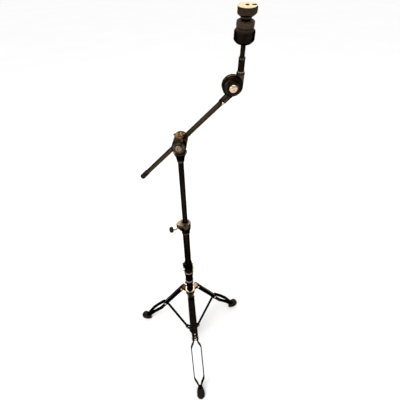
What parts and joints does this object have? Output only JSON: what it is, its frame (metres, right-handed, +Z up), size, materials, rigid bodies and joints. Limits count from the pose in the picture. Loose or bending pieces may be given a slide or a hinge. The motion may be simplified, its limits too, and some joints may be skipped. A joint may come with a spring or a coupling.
{
  "type": "cymbal boom stand",
  "caption": "Folding double-braced tripod with telescoping tubes, a tilting sliding boom, and a tilter carrying a cymbal seat with felts and a quick-release nut.",
  "frame": {"origin": "middle of the bounding box on the floor plane", "axes": "+Z up along the pole; the front leg points to -Y and the boom rises to +X"},
  "size_m": [0.4798, 0.4195, 1.3219],
  "materials": {
    "black_nickel": "polished black-nickel plating on steel tube and strip, with a warm brown tint",
    "casting": "black-nickel plated castings, slightly softer than the tubes",
    "bright_chrome": "bright plated bolts, rings and rivets",
    "rubber": "matte black rubber",
    "plastic": "black nylon, lightly glossy",
    "plated_plastic": "moulded plastic with a smoky black-nickel plating",
    "felt": "pressed brown-grey wool felt"
  },
  "bodies": {
    "base": {"base_tube": "black_nickel", "tube_end_plug": "rubber", "lower_collar": "casting", "base_clamp": "casting", "leg_1_brace_pin": "bright_chrome", "leg_2_brace_pin": "bright_chrome", "leg_3_brace_pin": "bright_chrome"},
    "hub": {"hub_collar": "casting"},
    "hub_screw": {"hub_wing_screw": "casting"},
    "leg_1": {"leg_1_channel": "black_nickel", "leg_1_loop": "black_nickel", "leg_1_foot": "rubber", "leg_1_hub_rivet": "bright_chrome", "leg_1_knee_rivet_left": "bright_chrome", "leg_1_knee_rivet_right": "bright_chrome"},
    "leg_2": {"leg_2_channel": "black_nickel", "leg_2_loop": "black_nickel", "leg_2_foot": "rubber", "leg_2_hub_rivet": "bright_chrome", "leg_2_knee_rivet_left": "bright_chrome", "leg_2_knee_rivet_right": "bright_chrome"},
    "leg_3": {"leg_3_channel": "black_nickel", "leg_3_loop": "black_nickel", "leg_3_foot": "rubber", "leg_3_hub_rivet": "bright_chrome", "leg_3_knee_rivet_left": "bright_chrome", "leg_3_knee_rivet_right": "bright_chrome"},
    "brace_1": {"leg_1_brace": "black_nickel"},
    "brace_2": {"leg_2_brace": "black_nickel"},
    "brace_3": {"leg_3_brace": "black_nickel"},
    "base_screw": {"base_wing_screw": "casting"},
    "base_bush": {"base_bush": "plastic"},
    "middle": {"middle_tube": "black_nickel", "height_clamp": "casting"},
    "memory_lock": {"memory_lock": "casting"},
    "lock_key": {"lock_key_screw": "bright_chrome"},
    "height_screw": {"t_screw_stem": "bright_chrome", "t_screw_knob": "plastic"},
    "height_bush": {"height_bush": "plastic"},
    "upper": {"upper_tube": "black_nickel", "boom_post": "casting", "boom_pivot_bolt": "bright_chrome"},
    "barrel": {"boom_barrel": "casting"},
    "barrel_nut": {"boom_wing_nut": "casting"},
    "boom_bush": {"boom_bush": "plastic"},
    "boom": {"boom_tube": "black_nickel", "boom_end_cap": "rubber", "tilter_lower": "casting", "socket_set_screw": "bright_chrome", "tilter_bolt": "bright_chrome"},
    "cymbal_mast": {"tilter_upper": "casting", "rod_ring": "bright_chrome", "rod_sleeve": "black_nickel", "cymbal_rod": "black_nickel", "seat_cup": "plated_plastic", "lower_felt": "felt"},
    "tilter_nut": {"tilter_wing_nut": "casting"},
    "upper_felt": {"upper_felt": "felt"},
    "top_nut": {"top_nut": "plated_plastic"}
  },
  "joints": [
    {"name": "hub_slide", "type": "slide", "parent": "base", "child": "hub", "axis": [0, 0, 1], "range_m": [0, 0.04842]},
    {"name": "leg_1_fold", "type": "hinge", "parent": "hub", "child": "leg_1", "pos_m": [0, 0.03, 0.366], "axis": [1, 0, 0], "range_deg": [0, 29.13]},
    {"name": "brace_1_fold", "type": "hinge", "parent": "base", "child": "brace_1", "pos_m": [0, 0.0335, 0.0544], "axis": [-1, 0, 0], "range_deg": [0, 29.89]},
    {"name": "leg_2_fold", "type": "hinge", "parent": "hub", "child": "leg_2", "pos_m": [0.02771, 0.078, 0.366], "axis": [-0.5, 0.866, 0], "range_deg": [0, 29.13]},
    {"name": "brace_2_fold", "type": "hinge", "parent": "base", "child": "brace_2", "pos_m": [0.02468, 0.07625, 0.0544], "axis": [0.5, -0.866, 0], "range_deg": [0, 29.89]},
    {"name": "leg_3_fold", "type": "hinge", "parent": "hub", "child": "leg_3", "pos_m": [-0.02771, 0.078, 0.366], "axis": [-0.5, -0.866, 0], "range_deg": [0, 29.13]},
    {"name": "brace_3_fold", "type": "hinge", "parent": "base", "child": "brace_3", "pos_m": [-0.02468, 0.07625, 0.0544], "axis": [0.5, 0.866, 0], "range_deg": [0, 29.89]},
    {"name": "hub_screw_turn", "type": "hinge", "parent": "hub", "child": "hub_screw", "pos_m": [0, 0.062, 0.361], "axis": [0, 1, 0], "range_deg": [0, 720]},
    {"name": "base_screw_turn", "type": "hinge", "parent": "base", "child": "base_screw", "pos_m": [0, 0.062, 0.46], "axis": [0, 1, 0], "range_deg": [0, 720]},
    {"name": "middle_turn", "type": "hinge", "parent": "base", "child": "base_bush", "pos_m": [0, 0.062, 0.489], "axis": [0, 0, 1], "range_deg": [-180, 180]},
    {"name": "middle_slide", "type": "slide", "parent": "base_bush", "child": "middle", "axis": [0, 0, 1], "range_m": [-0.0035, 0.1]},
    {"name": "lock_slide", "type": "slide", "parent": "middle", "child": "memory_lock", "axis": [0, 0, 1], "range_m": [0, 0.15]},
    {"name": "lock_key_turn", "type": "hinge", "parent": "memory_lock", "child": "lock_key", "pos_m": [-0.0172, 0.062, 0.514], "axis": [0, -1, 0], "range_deg": [0, 360]},
    {"name": "height_screw_turn", "type": "hinge", "parent": "middle", "child": "height_screw", "pos_m": [0, 0.062, 0.716], "axis": [-0.9903, -0.1392, 0], "range_deg": [0, 720]},
    {"name": "upper_turn", "type": "hinge", "parent": "middle", "child": "height_bush", "pos_m": [0, 0.062, 0.735], "axis": [0, 0, 1], "range_deg": [-180, 180]},
    {"name": "upper_slide", "type": "slide", "parent": "height_bush", "child": "upper", "axis": [0, 0, 1], "range_m": [-0.2, 0.12]},
    {"name": "boom_tilt", "type": "hinge", "parent": "upper", "child": "barrel", "pos_m": [0, 0.062, 1.014], "axis": [-0.2079, -0.9781, 0], "range_deg": [-55, 35]},
    {"name": "boom_nut_turn", "type": "hinge", "parent": "barrel", "child": "barrel_nut", "pos_m": [0, 0.062, 1.014], "axis": [0.2079, 0.9781, 0], "range_deg": [0, 720]},
    {"name": "boom_turn", "type": "hinge", "parent": "barrel", "child": "boom_bush", "pos_m": [0.00416, 0.08156, 1.014], "axis": [0.6917, -0.147, 0.7071], "range_deg": [-180, 180]},
    {"name": "boom_slide", "type": "slide", "parent": "boom_bush", "child": "boom", "axis": [0.6917, -0.147, 0.7071], "range_m": [-0.1, 0.12]},
    {"name": "tilter_tilt", "type": "hinge", "parent": "boom", "child": "cymbal_mast", "pos_m": [0.12974, 0.0518, 1.16004], "axis": [-0.0344, -0.9847, -0.1711], "range_deg": [-80, 80]},
    {"name": "tilter_nut_turn", "type": "hinge", "parent": "boom", "child": "tilter_nut", "pos_m": [0.12974, 0.0518, 1.16004], "axis": [0.0344, 0.9847, 0.1711], "range_deg": [0, 720]},
    {"name": "top_nut_lift", "type": "slide", "parent": "cymbal_mast", "child": "top_nut", "axis": [-0.008, -0.1709, 0.9853], "range_m": [0, 0.04]},
    {"name": "upper_felt_lift", "type": "slide", "parent": "cymbal_mast", "child": "upper_felt", "axis": [-0.008, -0.1709, 0.9853], "range_m": [0, 0.02]}
  ],
  "couplings": [
    {"joint": "leg_1_fold", "follows": "hub_slide", "rad_per_m": 10.496},
    {"joint": "brace_1_fold", "follows": "hub_slide", "rad_per_m": 10.772},
    {"joint": "leg_2_fold", "follows": "hub_slide", "rad_per_m": 10.496},
    {"joint": "brace_2_fold", "follows": "hub_slide", "rad_per_m": 10.772},
    {"joint": "leg_3_fold", "follows": "hub_slide", "rad_per_m": 10.496},
    {"joint": "brace_3_fold", "follows": "hub_slide", "rad_per_m": 10.772},
    {"joint": "upper_felt_lift", "follows": "top_nut_lift", "ratio": 0.5}
  ]
}
